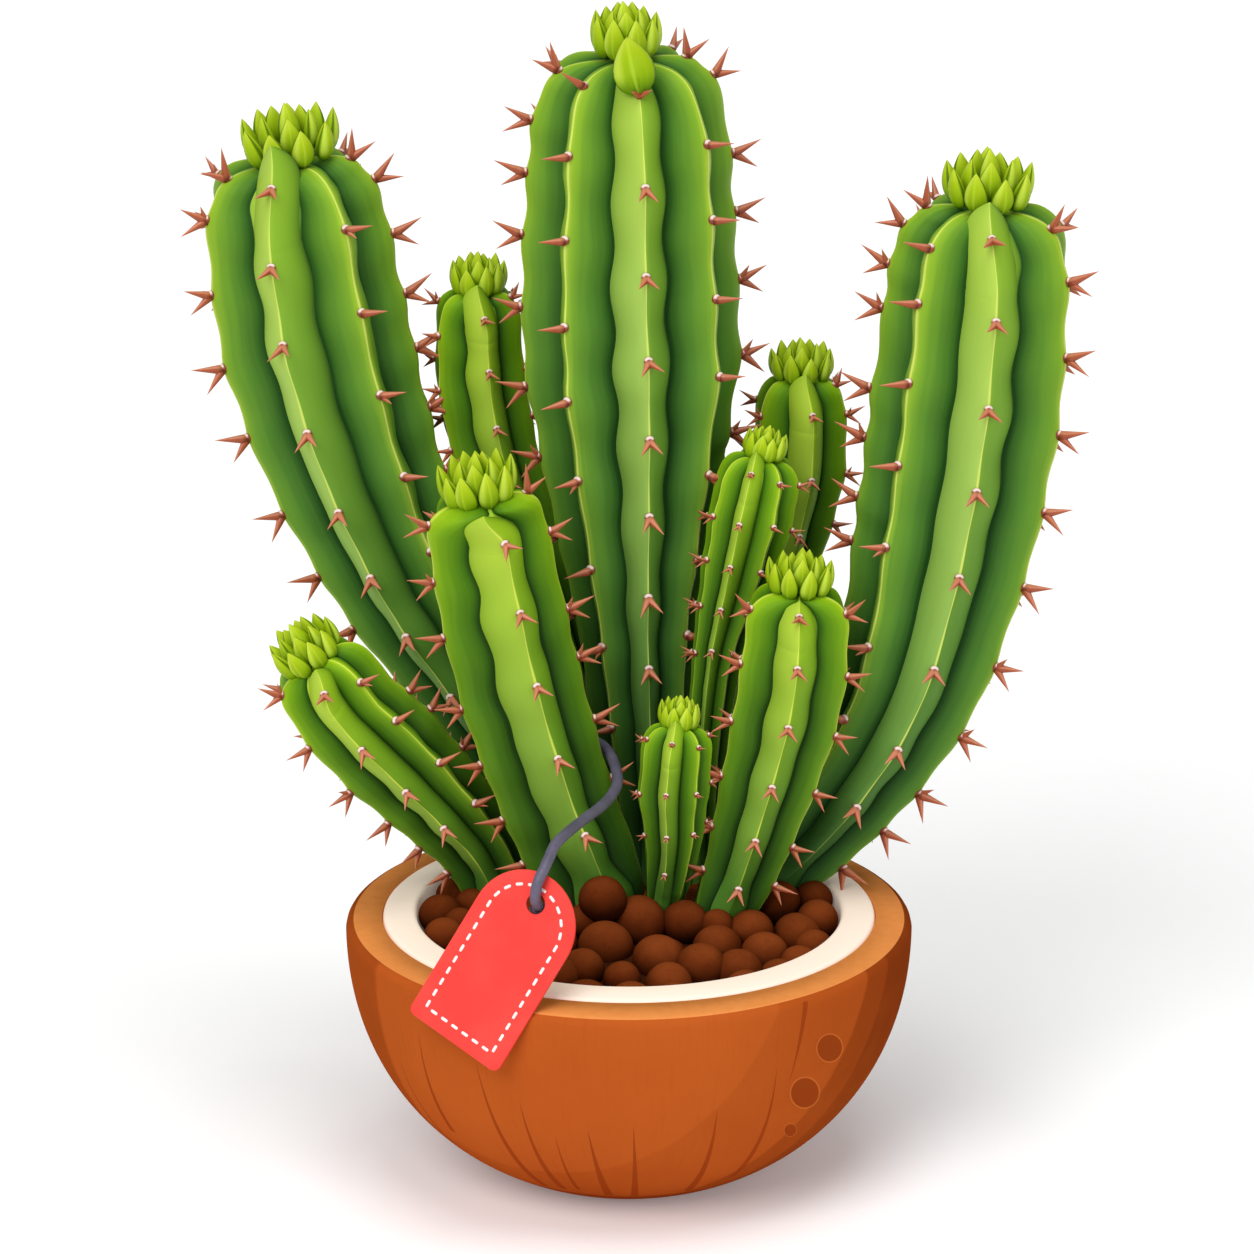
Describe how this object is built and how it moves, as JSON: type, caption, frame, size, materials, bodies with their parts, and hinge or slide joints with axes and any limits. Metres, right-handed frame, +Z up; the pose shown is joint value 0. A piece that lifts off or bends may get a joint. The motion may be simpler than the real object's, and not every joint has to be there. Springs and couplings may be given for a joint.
{
  "type": "potted euphorbia",
  "caption": "ribbed spiny succulent stems in a bed of clay balls, planted in half a coconut shell, with a blank hang tag on a cord",
  "frame": {"origin": "middle of the flat foot of the coconut shell, on the surface that it stands on", "axes": "+Z up, -Y the front that the tag hangs on, +X to the right of it"},
  "size_m": [0.2886, 0.1881, 0.374],
  "materials": {
    "husk": "smooth husk, satin",
    "flesh": "smooth, satin",
    "clay_balls": "matt fired clay",
    "stems": "waxy plant skin, spines and young leaves",
    "tag": "satin red card, stitched edge",
    "cord": "waxed cord"
  },
  "bodies": {
    "root": {"coconut_shell": "husk", "coconut_lining": "flesh", "clay_ball_bed": "clay_balls", "stem_left_tall": "stems", "stem_back_left": "stems", "stem_centre_tall": "stems", "stem_front_left": "stems", "stem_low_left": "stems", "stem_back_right": "stems", "stem_mid_right": "stems", "stem_right_tall": "stems", "stem_front_right": "stems", "stem_tiny_front": "stems", "hang_tag": "tag", "tag_cord": "cord", "cord_knot_stem": "cord", "cord_knot_tag": "cord"}
  },
  "joints": []
}
